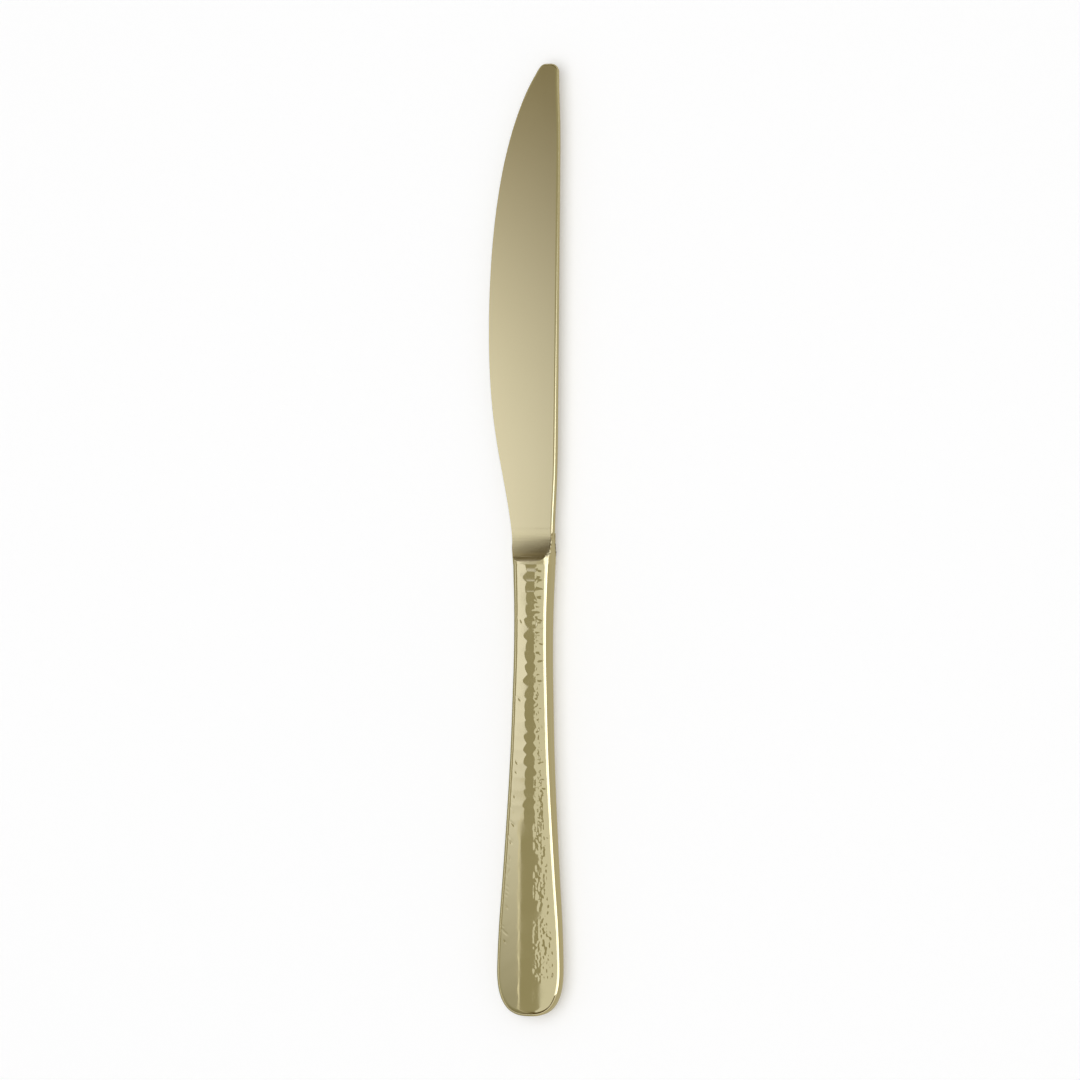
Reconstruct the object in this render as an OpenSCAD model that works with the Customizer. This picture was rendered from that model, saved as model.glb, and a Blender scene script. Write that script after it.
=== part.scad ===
// Table knife with a hollow hammered handle.
// The knife lies on its flank: tip towards +Y, spine towards +X, cutting edge towards -X.
// The origin is under the middle of the knife, on the surface that it rests on.

/* [Blade] */
// Length from the mouth of the handle to the tip
blade_l = 123.5; // [103:0.1:148]
// Distance from the mouth of the handle to the deepest point of the belly
belly_at = 60.3; // [50:0.1:72]
// Depth of the belly below the centre line of the handle
belly_depth = 12.75; // [10.5:0.05:15.5]
// Height of the spine above the centre line of the handle
spine_h = 5.7; // [5:0.05:7]
// Length over which the spine rises from the handle
spine_rise_l = 31; // [20:1:37]
// Thickness of the spine at the heel
heel_t = 2.4; // [1.8:0.1:3]
// Thickness of the spine at the tip
tip_t = 1.6; // [1.2:0.1:1.8]
// Thickness left at the cutting edge
edge_t = 0.4; // [0.3:0.05:0.6]
// Radius of the cove that the flank ends in, in front of the handle
cove_r = 12; // [9:0.5:15]

/* [Tip] */
// Width of the blunt end, between the belly and the spine
tip_w = 6.4; // [5.6:0.1:7.4]
// Length of the rounding on the edge side
tip_nose_l = 3; // [2.5:0.1:3.2]
// Radius of the corner on the spine side
tip_r = 2.1; // [1.7:0.1:2.2]
// Drop of the spine towards the tip
tip_drop = 0.5; // [0.3:0.05:0.7]
// Length of that drop
tip_drop_l = 20; // [16:0.5:24]

/* [Handle] */
// Length from the mouth to the butt
handle_l = 111.5; // [93:0.1:134]
// Thickness at the mouth
bolster_t = 7.6; // [6.6:0.1:9.2]
// Thickness at the butt
butt_t = 5; // [4.2:0.1:6]
// Width at the narrowest place, behind the mouth
neck_w = 9.3; // [7.8:0.02:11]
// Width at the widest place, before the butt
butt_w = 17.1; // [14.3:0.02:20.5]
// Length of the rounded end of the butt
butt_round_l = 12.4; // [10:0.2:15]
// Width of the flat left at the very end
butt_flat_w = 3.2; // [2.4:0.1:4]
// How square the rounded end is, where 2 is a plain ellipse
butt_squareness = 2.65; // [2:0.05:3]
// Radius between the hammered face and the smooth side, at the mouth
shoulder_r = 2.6; // [2.2:0.05:2.8]
// The same radius at the butt
butt_corner_r = 1.5; // [1.25:0.05:1.7]
// Radius of the slight crown across each face
crown_r = 60; // [50:1:120]
// Thickness of the pressed sheet
wall = 0.9; // [0.7:0.05:1.1]
// Thickness of the weld between the two half shells
weld_t = 0.4; // [0.3:0.05:0.5]

/* [Hammering] */
// Distance between hammer marks
mark_pitch = 2.3; // [1.9:0.1:2.8]
// Depth of a hammer mark
mark_depth = 0.1; // [0:0.01:0.16]
// Radius of the hammer's face
hammer_r = 12; // [8:0.5:20]
// Smooth land left between the cove and the first marks
mark_land = 1; // [0.6:0.1:2]

/* [Inside the handle] */
// Length of the spigot that fills the mouth
spigot_l = 5; // [4:0.5:8]
// Length of the tang behind the spigot
tang_l = 42; // [30:1:50]
// Width of the tang
tang_w = 4.6; // [3.8:0.1:5]
// Thickness of the tang
tang_t = 2.6; // [2.2:0.1:3]
// Depth of the notches that lock the tang in the filler
notch_depth = 0.8; // [0.5:0.1:1]
// Length of each notch
notch_l = 4; // [3:0.5:5]
// Gap between the shells and what fills them
fit_gap = 0.15; // [0.14:0.01:0.25]
// Gap left between the filler and the blade's spigot and tang
bond_gap = 0.05; // [0.03:0.01:0.1]

/* [Hidden] */

gold = [0.80, 0.74, 0.56];
cement = [0.72, 0.70, 0.66];

// Overrun of every cut past the surface that it opens
over_cut = 1;
// Land between the end of the cove and the mouth of the handle
cove_land = 0.4;

// Steps along each curve, counts only
curve_steps = 14;
cove_steps = 14;
straight_steps = 68;
round_steps = 16;
// Steps on the outside for each step on the inside
step_ratio = 2;
bolster_steps = 12;
face_columns = 9;
corner_angles = [0, 22.5, 45, 67.5];
inner_face_columns = 4;
inner_corner_angles = [0, 30, 60];

// Where the end of the butt starts to round, and how long the full curve would be
round_start = handle_l - butt_round_l;
round_full_l = butt_round_l / pow(1 - pow(butt_flat_w / butt_w, butt_squareness), 1 / butt_squareness);

// How far the width has grown from neck to butt, at shares of the handle's length
swell_station_shares = [0, 0.1, 0.2, 0.3, 0.4, 0.5, 0.6, 0.7, 0.8, 0.89, 1];
swell_shares = [0.1, 0.005, 0, 0.073, 0.166, 0.307, 0.484, 0.678, 0.892, 1, 1];

// Bend of the blade's outline: how far each curve's handles reach along it
heel_out_share = 0.38;
heel_depth_share = 0.54;
heel_in_share = 0.53;
belly_out_share = 0.564;
nose_back_share = 0.136;
nose_depth_share = 0.4;
nose_turn_share = 0.62;

// Slopes of the flank: along the blade, and from the spine down to the edge
flank_taper = (tip_t - heel_t) / 2 / blade_l;
spine_t_at_belly = heel_t + 2 * flank_taper * belly_at;
flank_wedge = (spine_t_at_belly - edge_t) / 2 / (spine_h + belly_depth);
flank_pitch = asin(flank_taper / sqrt(1 + pow(flank_wedge, 2) + pow(flank_taper, 2)));
flank_roll = -atan(flank_wedge);

// Place of the mouth in the finished frame
mouth_x = (belly_depth - butt_w / 2) / 2;
mouth_y = (handle_l - blade_l) / 2;
mouth_z = bolster_t / 2;

// A cubic curve through two ends and towards two guide points, without its first point
function curve(a, b, c, d, steps = curve_steps) =
    [for (i = [1:steps])
        let (t = i / steps, s = 1 - t)
        s * s * s * a + 3 * s * s * t * b + 3 * s * t * t * c + t * t * t * d];

// A smooth value between table entries
function slope_at(xs, ys, i) =
    let (a = max(0, i - 1), b = min(len(xs) - 1, i + 1))
    (ys[b] - ys[a]) / (xs[b] - xs[a]);
function entry_before(xs, x, i = 0) = i >= len(xs) - 2 || x < xs[i + 1] ? i : entry_before(xs, x, i + 1);
function smooth_lookup(xs, ys, x) =
    let (i = entry_before(xs, x), span = xs[i + 1] - xs[i], t = (x - xs[i]) / span)
    (1 + 2 * t) * pow(1 - t, 2) * ys[i] + t * pow(1 - t, 2) * span * slope_at(xs, ys, i)
    + t * t * (3 - 2 * t) * ys[i + 1] - t * t * (1 - t) * span * slope_at(xs, ys, i + 1);

// Half the handle's thickness, the radius of its corners and half its width, at a distance behind the mouth.
// No corner is larger than the side beside the weld. The inset moves the outline inwards, for the inner wall
// and for what fits inside it.
function half_t(d) = (bolster_t + (butt_t - bolster_t) * d / handle_l) / 2;
function corner_r(d) =
    let (side = half_t(d) - weld_t / 2 - crown_drop(full_half_w(d)))
    min(shoulder_r + (butt_corner_r - shoulder_r) * d / handle_l, side);
function past_round(d, inset) = max(0, d - round_start) / (round_full_l - inset);
function swell(d) = smooth_lookup(swell_station_shares, swell_shares, d / handle_l);
function full_half_w(d) = (neck_w + (butt_w - neck_w) * swell(d)) / 2;
function half_w(d, inset = 0) =
    (full_half_w(d) - inset) * pow(1 - pow(past_round(d, inset), butt_squareness), 1 / butt_squareness);

// How far a point of the face lies from the handle's outline
function edge_distance(x, d) =
    d <= round_start ? half_w(d) - abs(x) :
    let (
        n = butt_squareness,
        across = abs(x) / full_half_w(d),
        along = past_round(d, 0),
        reach = pow(pow(across, n) + pow(along, n), 1 / n),
        steepness = norm([pow(across, n - 1) / full_half_w(d), pow(along, n - 1) / round_full_l])
    )
    max(0, (1 - reach) * pow(reach, n - 1) / steepness);

// Drop of the face below its middle: by its crown, and by a round corner at a distance from the edge
function crown_drop(x) = x * x / (2 * crown_r);
function corner_drop(e, r) = e >= r ? 0 : r - sqrt(pow(r, 2) - pow(r - max(0, e), 2));

// Hammer marks lie in staggered rows, each moved a little and struck a little deeper or lighter
mark_rows = ceil(handle_l / mark_pitch) + 3;
mark_files = ceil(butt_w / mark_pitch) + 4;
function mark_shifts(seed) = rands(-1, 1, 3 * mark_rows * mark_files, seed);
function mark_height(x, d, row, file, shifts) =
    let (
        k = 3 * (row * mark_files + file),
        mark_x = (file - (mark_files - 1) / 2 + (row % 2 - 0.5) / 2 + 0.3 * shifts[k]) * mark_pitch,
        mark_d = (row - 1 + 0.3 * shifts[k + 1]) * mark_pitch,
        away = norm([x - mark_x, d - mark_d])
    )
    mark_depth * (1 + 0.35 * shifts[k + 2]) - away * away / (2 * hammer_r);
function hammer_drop(x, d, shifts) =
    let (row = round(d / mark_pitch) + 1, file = round(x / mark_pitch + (mark_files - 1) / 2))
    max(0, max([for (r = [-1:1]) for (f = [-1:1]) mark_height(x, d, row + r, file + f, shifts)]));
function hammer_share(e, d) =
    min(1, max(0, 2 * e / corner_r(d) - 1)) * min(1, d / mark_land);
function smooth_z(x, d, inset) =
    half_t(d) - inset - crown_drop(x) - corner_drop(edge_distance(x, d) - inset, corner_r(d) - inset);
function face_z(x, d, shifts) =
    smooth_z(x, d, 0) - hammer_drop(x, d, shifts) * hammer_share(edge_distance(x, d), d);

// Distances behind the mouth at which the outside and the inside are drawn
outer_stations = concat(
    [for (i = [0:straight_steps]) round_start * i / straight_steps],
    [for (i = [1:round_steps]) round_start + butt_round_l * sin(90 * i / round_steps)]
);
function inner_stations(inset) =
    let (straight = straight_steps / step_ratio, round = round_steps / step_ratio)
    concat(
        [for (i = [0:straight]) round_start * i / straight],
        [for (i = [1:round]) round_start + (butt_round_l - inset) * sin(90 * i / round)]
    );

// Places across a section: round corner, face, round corner
function section_xs(left, right, r, angles, columns) = concat(
    [for (a = angles) left + r * (1 - cos(a))],
    [for (i = [0:columns]) left + r + (right - left - 2 * r) * i / columns],
    [for (i = [1:len(angles)]) right - r * (1 - cos(angles[len(angles) - i]))]
);
function outer_xs(d) =
    let (w = half_w(d))
    section_xs(-w, w, min(corner_r(d), w / 2), corner_angles, face_columns);
function inner_xs(d, inset) =
    let (w = half_w(d, inset))
    section_xs(-w, w, min(corner_r(d) - inset, w / 2), inner_corner_angles, inner_face_columns);
function outer_ring(d, shifts) = concat(
    [[-half_w(d), -d, weld_t / 2]],
    [for (x = outer_xs(d)) [x, -d, face_z(x, d, shifts)]],
    [[half_w(d), -d, weld_t / 2]]
);
function inner_ring(d) = concat(
    [[-half_w(d, wall), -d, weld_t / 2]],
    [for (x = inner_xs(d, wall)) [x, -d, smooth_z(x, d, wall)]],
    [[half_w(d, wall), -d, weld_t / 2]]
);

// A half section and its mirror image below, as one closed ring
function closed_ring(half) = concat(
    half,
    [for (i = [1:len(half)]) let (p = half[len(half) - i]) [p.x, p.y, -p.z]]
);

// Two triangles for each cell of a sheet of rings, one way up or the other
function sheet_faces(first, rings, columns, flip) = [
    for (i = [0:rings - 2]) for (j = [0:columns - 2])
        let (a = first + i * columns + j, b = a + 1, c = b + columns, e = a + columns)
        each (flip ? [[a, b, c], [a, c, e]] : [[c, b, a], [e, c, a]])
];

// Triangles between a chain of points and a shorter chain that runs beside it
function stitch(long, short, flip) = [
    for (i = [0:len(long) - 2])
        let (
            share = (len(short) - 1) / (len(long) - 1),
            k = round(i * share),
            next = round((i + 1) * share),
            a = long[i],
            b = long[i + 1],
            c = short[k],
            e = short[next]
        )
        each concat(
            [flip ? [c, b, a] : [a, b, c]],
            next == k ? [] : [flip ? [e, b, c] : [c, b, e]]
        )
];

// Triangles that close a flat end, all from the first of its points
function fan(points, flip) = [
    for (i = [1:len(points) - 2])
        flip ? [points[i + 1], points[i], points[0]] : [points[0], points[i], points[i + 1]]
];

// A solid through closed rings that follow one another towards the butt
module loft(rings) {
    columns = len(rings[0]);
    last = columns * (len(rings) - 1);
    polyhedron(
        points = [for (ring = rings) each ring],
        faces = concat(
            [for (i = [0:columns:last - 1]) for (j = [0:columns - 1])
                let (a = i + j, b = i + (j + 1) % columns, c = b + columns, e = a + columns)
                each [[a, b, c], [a, c, e]]],
            fan([for (j = [0:columns - 1]) j], true),
            fan([for (j = [0:columns - 1]) last + j], false)
        )
    );
}

// One pressed half of the handle, above the middle plane and behind the mouth
module half_shell(seed) {
    shifts = mark_shifts(seed);
    outer = [for (d = outer_stations) outer_ring(d, shifts)];
    inner = [for (d = inner_stations(wall)) inner_ring(d)];
    rings = len(outer);
    columns = len(outer[0]);
    inner_rings = len(inner);
    inner_columns = len(inner[0]);
    first = rings * columns;
    last = first - columns;
    inner_last = first + (inner_rings - 1) * inner_columns;
    left = [for (i = [0:rings - 1]) i * columns];
    right = [for (i = left) i + columns - 1];
    inner_left = [for (i = [0:inner_rings - 1]) first + i * inner_columns];
    inner_right = [for (i = inner_left) i + inner_columns - 1];
    polyhedron(
        points = concat([for (ring = outer) each ring], [for (ring = inner) each ring]),
        faces = concat(
            sheet_faces(0, rings, columns, true),
            sheet_faces(first, inner_rings, inner_columns, false),
            stitch(left, inner_left, false),
            stitch(right, inner_right, true),
            stitch([last + columns - 1, last], [inner_last + inner_columns - 1, inner_last], true),
            stitch([for (j = [0:columns - 1]) j], [for (j = [0:inner_columns - 1]) first + j], true),
            fan([for (j = [0:columns - 1]) last + j], false),
            fan([for (j = [0:inner_columns - 1]) inner_last + j], true)
        )
    );
}

// The handle's outline between two distances, moved inwards by the inset
function outline(stations, inset) = concat(
    [for (d = stations) [-half_w(d, inset), -d]],
    [for (i = [1:len(stations)]) let (d = stations[len(stations) - i]) [half_w(d, inset), -d]]
);

// A block that fills the inside of the handle between two distances, clear of its walls
module inner_block(from, to) {
    inset = wall + fit_gap;
    stations = concat([from], [for (d = inner_stations(inset)) if (d > from && d < to) d], [to]);
    loft([for (d = stations) closed_ring([for (x = inner_xs(d, inset)) [x, -d, smooth_z(x, d, inset)]])]);
}

// Half of the tang's outline, with its two locking notches, grown by a gap
function tang_side(gap) =
    let (w = tang_w / 2 + gap, deep = w - notch_depth, pitch = tang_l / 3)
    concat(
        [[w, over_cut - spigot_l]],
        [for (n = [1:2]) each [
            [w, notch_l / 2 - gap - spigot_l - n * pitch], [deep, notch_l / 2 - gap - spigot_l - n * pitch],
            [deep, gap - notch_l / 2 - spigot_l - n * pitch], [w, gap - notch_l / 2 - spigot_l - n * pitch]
        ]],
        [[w, -spigot_l - tang_l - gap]]
    );

// The tang, or the socket that it leaves when it is grown by a gap
module tang(gap = 0) {
    side = tang_side(gap);
    linear_extrude(tang_t + 2 * gap, center = true)
        polygon(concat(side, [for (i = [1:len(side)]) [-side[len(side) - i].x, side[len(side) - i].y]]));
}

// The blade seen from its flank: up the spine, round the tip, and back along the edge
function blade_outline() =
    let (
        mouth_w = half_w(0),
        spine_tip = spine_h - tip_drop,
        nose = [spine_tip - tip_w, blade_l - tip_nose_l],
        belly = [-belly_depth, belly_at],
        to_tip = nose.y - belly.y
    )
    concat(
        [[mouth_w, 0]],
        curve([mouth_w, 0], [mouth_w, spine_rise_l / 2], [spine_h, spine_rise_l / 2], [spine_h, spine_rise_l]),
        curve(
            [spine_h, blade_l - tip_r - tip_drop_l], [spine_h, blade_l - tip_r - tip_drop_l / 2],
            [spine_tip, blade_l - tip_r - tip_drop_l / 3], [spine_tip, blade_l - tip_r]
        ),
        [for (i = [1:cove_steps])
            [spine_tip - tip_r, blade_l - tip_r] + tip_r * [cos(90 * i / cove_steps), sin(90 * i / cove_steps)]],
        curve(
            [nose.x + tip_nose_l, blade_l], [nose.x + tip_nose_l / 2, blade_l],
            nose + tip_nose_l / 2 * [nose_turn_share, 1], nose
        ),
        curve(
            nose, [nose.x - nose_depth_share * belly_depth, nose.y - nose_back_share * to_tip],
            [belly.x, belly.y + belly_out_share * to_tip], belly
        ),
        curve(
            belly, [belly.x, belly.y - heel_in_share * belly_at],
            [-heel_depth_share * belly_depth, heel_out_share * belly_at], [-mouth_w, 0]
        )
    );

// What grinding takes off one flank: a flat that ends in a round cove before the bolster
module flank_grind() {
    lowest = heel_t / 2 - flank_wedge * (spine_h + half_w(0));
    rise = bolster_t / 2 - lowest;
    cove_end = cove_land + sqrt(pow(cove_r, 2) - pow(cove_r - rise, 2));
    arc = acos((cove_r - rise - over_cut) / cove_r);
    translate([spine_h, 0, heel_t / 2])
        rotate([flank_pitch, flank_roll, 0])
            rotate([90, 0, 90])
                linear_extrude(4 * belly_depth, center = true)
                    polygon(concat(
                        [for (i = [0:cove_steps])
                            let (a = arc * i / cove_steps)
                            [cove_end - cove_r * sin(a), cove_r * (1 - cos(a))]],
                        [
                            [cove_end - cove_r * sin(arc), bolster_t],
                            [blade_l + 2 * over_cut, bolster_t],
                            [blade_l + 2 * over_cut, 0]
                        ]
                    ));
}

// Sides of that outline, at a distance in front of the mouth
function edge_x(y) = lookup(y, [for (p = blade_outline()) if (p.x < 0) [p.y, p.x]]);
function spine_x(y) = lookup(y, [for (p = blade_outline()) if (p.x > 0) [p.y, p.x]]);

// The bolster before grinding, with the section that the shells have at the mouth
module bolster() {
    r = corner_r(0);
    loft([for (i = [0:bolster_steps])
        let (y = cove_r * (1 - i / bolster_steps), left = edge_x(y), right = spine_x(y))
        closed_ring([for (x = section_xs(left, right, r, corner_angles, face_columns))
            [x, y, half_t(0) - crown_drop(x) - corner_drop(min(x - left, right - x), r)]])]);
}

// The blade in front of the bolster before grinding, with a tongue that reaches back into it
module flank_blank() {
    left = edge_x(cove_r);
    right = spine_x(cove_r);
    linear_extrude(heel_t, center = true)
        polygon(concat(
            [[right - over_cut, cove_r - over_cut], [right, cove_r]],
            [for (p = blade_outline()) if (p.y > cove_r) p],
            [[left, cove_r], [left + over_cut, cove_r - over_cut]]
        ));
}

// Forged blade with its bolster, the spigot that fills the mouth, and the tang
module blade() {
    color(gold)
        translate([mouth_x, mouth_y, mouth_z]) {
            difference() {
                union() {
                    bolster();
                    flank_blank();
                }
                flank_grind();
                mirror([0, 0, 1])
                    flank_grind();
            }
            inner_block(-over_cut / 2, spigot_l);
            tang();
        }
}

// Pressed and hammered half of the handle that faces up
module handle_front_shell() {
    color(gold)
        translate([mouth_x, mouth_y, mouth_z])
            half_shell(11);
}

// The other pressed half, which faces the table
module handle_back_shell() {
    color(gold)
        translate([mouth_x, mouth_y, mouth_z])
            mirror([0, 0, 1])
                half_shell(29);
}

// Weld that joins the rims of the two halves, ground flush along the smooth side
module seam_weld() {
    color(gold)
        translate([mouth_x, mouth_y, mouth_z])
            linear_extrude(weld_t, center = true)
                difference() {
                    polygon(outline(outer_stations, 0));
                    polygon(concat(
                        [[-half_w(0, wall), over_cut]],
                        outline(inner_stations(wall), wall),
                        [[half_w(0, wall), over_cut]]
                    ));
                }
}

// Cement that fills the handle and holds the tang
module handle_filler() {
    color(cement)
        translate([mouth_x, mouth_y, mouth_z])
            difference() {
                inner_block(spigot_l + bond_gap, handle_l - wall - fit_gap);
                tang(bond_gap);
            }
}

blade();
handle_front_shell();
handle_back_shell();
seam_weld();
handle_filler();
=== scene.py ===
"""Looks of a champagne gold table knife with a smooth blade and a hollow, hammered handle."""

import logging
import math
from collections.abc import Callable
from dataclasses import dataclass
from enum import Enum

import bmesh
import bpy
import numpy as np
from bpy.types import Material, Node, NodeSocket, NodeTree, Object
from mathutils import Matrix, Vector, noise
from mathutils.kdtree import KDTree


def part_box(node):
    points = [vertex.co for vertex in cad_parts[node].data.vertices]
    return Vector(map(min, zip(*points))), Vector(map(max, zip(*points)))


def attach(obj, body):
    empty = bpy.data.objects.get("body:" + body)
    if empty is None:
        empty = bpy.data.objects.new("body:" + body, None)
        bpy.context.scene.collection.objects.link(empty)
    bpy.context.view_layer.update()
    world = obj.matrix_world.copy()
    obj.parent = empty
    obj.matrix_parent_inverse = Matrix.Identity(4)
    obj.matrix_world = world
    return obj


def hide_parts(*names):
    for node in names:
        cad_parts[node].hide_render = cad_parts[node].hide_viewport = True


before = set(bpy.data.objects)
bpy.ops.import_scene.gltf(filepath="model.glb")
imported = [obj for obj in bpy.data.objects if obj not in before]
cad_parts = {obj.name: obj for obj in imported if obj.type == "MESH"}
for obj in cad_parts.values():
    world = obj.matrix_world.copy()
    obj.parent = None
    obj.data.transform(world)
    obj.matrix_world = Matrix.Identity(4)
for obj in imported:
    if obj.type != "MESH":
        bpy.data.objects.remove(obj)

MM = 0.001
TINY = 0.001 * MM
BODY = "root"
IMAGE_PX = 1080
SMOOTH_BELOW = math.radians(40)
# Least part of a normal along an axis for its face to count as facing that way
FACING = 0.5

log = logging.getLogger("table_knife")


class Slot(Enum):
    """Names of the record's material slots for the blade and the handle, which the modelled pieces are
    passed with.
    """

    BLADE = "blade_steel"
    HANDLE = "handle_steel"


class Face(Enum):
    """The two faces of the knife: the value turns a height above its middle plane to that face."""

    FRONT = 1.0
    BACK = -1.0


def linear(code: str) -> tuple[float, float, float, float]:
    """Turn an sRGB colour to the linear values that a shader takes.

    Args:
        code: the colour as six hex digits.

    Returns:
        Red, green, blue and an alpha of 1.
    """
    parts = [int(code[i : i + 2], 16) / 255 for i in (0, 2, 4)]
    red, green, blue = (c / 12.92 if c <= 0.04045 else ((c + 0.055) / 1.055) ** 2.4 for c in parts)
    return red, green, blue, 1.0


def add_node(tree: NodeTree, kind: str, settings: dict | None = None, **inputs: object) -> Node:
    """Add one node, set it up and link it.

    Args:
        tree: the node tree that takes the node.
        kind: the node's type name.
        settings: its properties, and under a number what goes to the input at that place.
        inputs: under each input's name, with _ for a blank, its value, or the socket or node that feeds it.

    Returns:
        The new node.
    """
    made = tree.nodes.new(kind)
    wired = dict(inputs)
    for key, value in (settings or {}).items():
        if isinstance(key, int):
            wired[key] = value
        else:
            setattr(made, key, value)
    for key, value in wired.items():
        socket = made.inputs[key if isinstance(key, int) else key.replace("_", " ")]
        if isinstance(value, Node):
            value = value.outputs[0]
        if isinstance(value, NodeSocket):
            tree.links.new(value, socket)
        else:
            socket.default_value = value
    return made


def new_material(name: str) -> tuple[Material, NodeTree]:
    """Start an empty material.

    Args:
        name: the material's name.

    Returns:
        The material and its node tree.
    """
    material = bpy.data.materials.new(name)
    material.use_nodes = True
    material.node_tree.nodes.clear()
    return material, material.node_tree


@dataclass(frozen=True)
class GoldFilm:
    """Champagne gold vapour film, so thin that it keeps the shine of the steel under it."""

    film: str = "E6DBB4"
    roughness: float = 0.2
    roughness_swing: float = 0.03
    mottle_span: tuple = (0.7, 1.3)

    def coat(self, tree: NodeTree, mottle: Node, relief: Node, depth: float) -> None:
        """Wire up the coated metal.

        Args:
            tree: the material's node tree.
            mottle: the pattern that dulls it here and there.
            relief: the pattern of its fine unevenness.
            depth: the height of that unevenness.
        """
        low, high = self.mottle_span
        rough = add_node(
            tree, "ShaderNodeMapRange", Value=mottle, From_Min=low, From_Max=high,
            To_Min=self.roughness - self.roughness_swing, To_Max=self.roughness + self.roughness_swing,
        )
        bump = add_node(tree, "ShaderNodeBump", Height=relief, Distance=depth, Strength=1.0)
        colour = linear(self.film)
        metal = add_node(
            tree, "ShaderNodeBsdfPrincipled", Base_Color=colour, Metallic=1.0, Roughness=rough, Normal=bump,
        )
        add_node(tree, "ShaderNodeOutputMaterial", Surface=metal)


@dataclass(frozen=True)
class SatinGoldSteel(GoldFilm):
    """Steel ground along the blade, polished to a satin and coated with the film.

    The eye sees soft, warm reflections that the fine grinding draws out along the blade.
    """

    name: str = "pvd_gold_on_satin_ground_steel"
    # Grinding lines are a few hundredths of a millimetre apart. They are drawn coarser, to show at all
    line_pitch: float = 0.25 * MM
    line_length: float = 30 * MM
    line_depth: float = 0.0015 * MM
    cloud_size: float = 9 * MM

    def material(self) -> Material:
        """Build the node material.

        Returns:
            The material.
        """
        material, tree = new_material(self.name)
        place = add_node(tree, "ShaderNodeTexCoord").outputs["Object"]
        stretch = (1 / self.line_pitch, 1 / self.line_length, 1 / self.line_pitch)
        along = add_node(tree, "ShaderNodeMapping", Vector=place, Scale=stretch)
        lines = add_node(tree, "ShaderNodeTexNoise", Vector=along, Scale=1.0, Detail=3.0)
        clouds = add_node(tree, "ShaderNodeTexNoise", Vector=place, Scale=1 / self.cloud_size, Detail=2.0)
        both = add_node(tree, "ShaderNodeMath", {"operation": "ADD", 0: lines, 1: clouds})
        self.coat(tree, both, lines, self.line_depth)
        return material


@dataclass(frozen=True)
class PolishedGoldSteel(GoldFilm):
    """Pressed and hammered steel sheet, buffed bright and coated with the film.

    The eye sees sharp reflections that break at every hammer mark, with a faint haze where hands rub it.
    """

    name: str = "pvd_gold_on_buffed_hammered_steel"
    roughness: float = 0.075
    roughness_swing: float = 0.035
    mottle_span: tuple = (0.35, 0.65)
    haze_size: float = 6 * MM
    buff_pitch: float = 0.5 * MM
    buff_depth: float = 0.0015 * MM

    def material(self) -> Material:
        """Build the node material.

        Returns:
            The material.
        """
        material, tree = new_material(self.name)
        place = add_node(tree, "ShaderNodeTexCoord").outputs["Object"]
        haze = add_node(tree, "ShaderNodeTexNoise", Vector=place, Scale=1 / self.haze_size, Detail=4.0)
        buffing = add_node(tree, "ShaderNodeTexNoise", Vector=place, Scale=1 / self.buff_pitch, Detail=2.0)
        self.coat(tree, haze, buffing, self.buff_depth)
        return material


@dataclass(frozen=True)
class CastCement:
    """Cement and fine sand cast into the handle: pale, dull and grainy, with small air holes."""

    name: str = "cast_cement_and_sand"
    pale: str = "DDD8CC"
    dark: str = "AFA898"
    roughness: float = 0.9
    sand_grain: float = 0.4 * MM
    air_hole: float = 1.2 * MM
    hole_depth: float = 0.15 * MM

    def material(self) -> Material:
        """Build the node material.

        Returns:
            The material.
        """
        material, tree = new_material(self.name)
        place = add_node(tree, "ShaderNodeTexCoord").outputs["Object"]
        grain = add_node(tree, "ShaderNodeTexNoise", Vector=place, Scale=1 / self.sand_grain, Detail=3.0)
        holes = add_node(tree, "ShaderNodeTexVoronoi", Vector=place, Scale=1 / self.air_hole)
        ends = {6: linear(self.dark), 7: linear(self.pale)}
        colour = add_node(tree, "ShaderNodeMix", {"data_type": "RGBA", 0: grain, **ends}).outputs[2]
        bump = add_node(tree, "ShaderNodeBump", Height=holes, Distance=self.hole_depth)
        cast = add_node(
            tree, "ShaderNodeBsdfPrincipled", Base_Color=colour, Roughness=self.roughness, Normal=bump,
        )
        add_node(tree, "ShaderNodeOutputMaterial", Surface=cast)
        return material


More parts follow.
